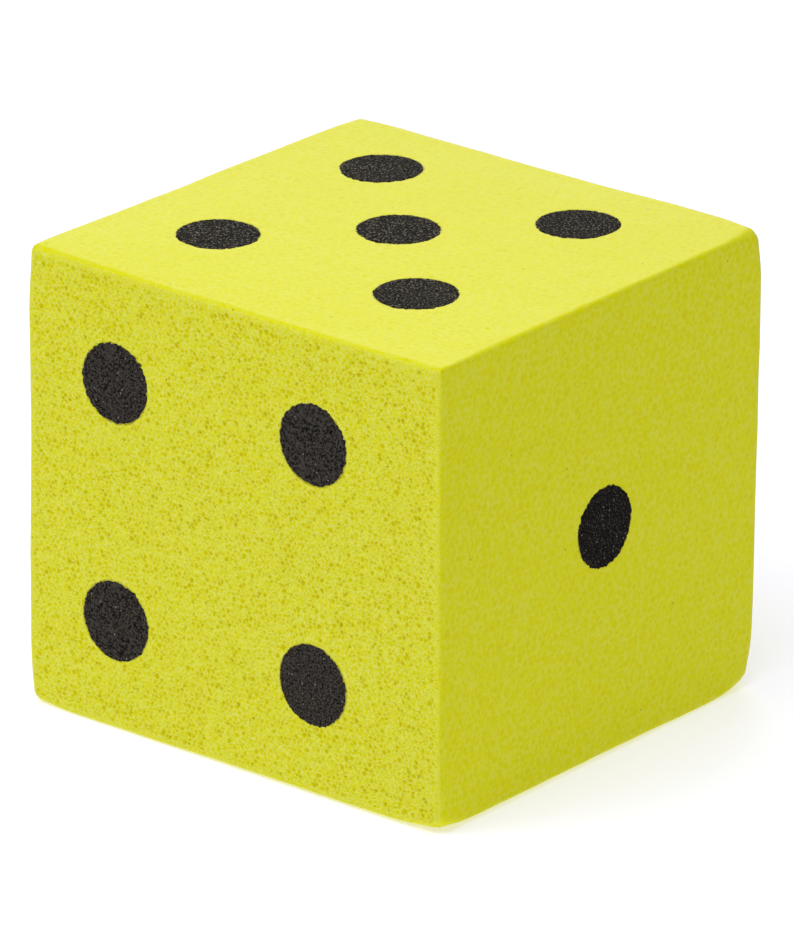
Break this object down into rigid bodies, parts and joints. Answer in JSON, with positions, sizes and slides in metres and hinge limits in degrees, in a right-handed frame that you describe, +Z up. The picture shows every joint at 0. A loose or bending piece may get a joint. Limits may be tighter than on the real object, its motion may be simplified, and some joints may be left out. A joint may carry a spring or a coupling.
{
  "type": "foam yard die",
  "caption": "Soft foam cube die for lawn games, cut square with lightly rounded edges and round dark spots printed on each face.",
  "frame": {"origin": "middle of the bottom face, the face with two spots", "axes": "+Z up, out of the five face; +X out of the one face; -Y out of the four face"},
  "size_m": [0.0936, 0.0904, 0.087],
  "materials": {
    "foam": "matte",
    "ink": "matte"
  },
  "bodies": {
    "root": {"foam_block": "foam", "pip_5_upper_left": "ink", "pip_5_upper_right": "ink", "pip_5_centre": "ink", "pip_5_lower_left": "ink", "pip_5_lower_right": "ink", "pip_4_upper_left": "ink", "pip_4_upper_right": "ink", "pip_4_lower_left": "ink", "pip_4_lower_right": "ink", "pip_1_centre": "ink", "pip_3_upper_left": "ink", "pip_3_centre": "ink", "pip_3_lower_right": "ink", "pip_6_upper_left": "ink", "pip_6_middle_left": "ink", "pip_6_lower_left": "ink", "pip_6_upper_right": "ink", "pip_6_middle_right": "ink", "pip_6_lower_right": "ink", "pip_2_upper_left": "ink", "pip_2_lower_right": "ink"}
  },
  "joints": []
}
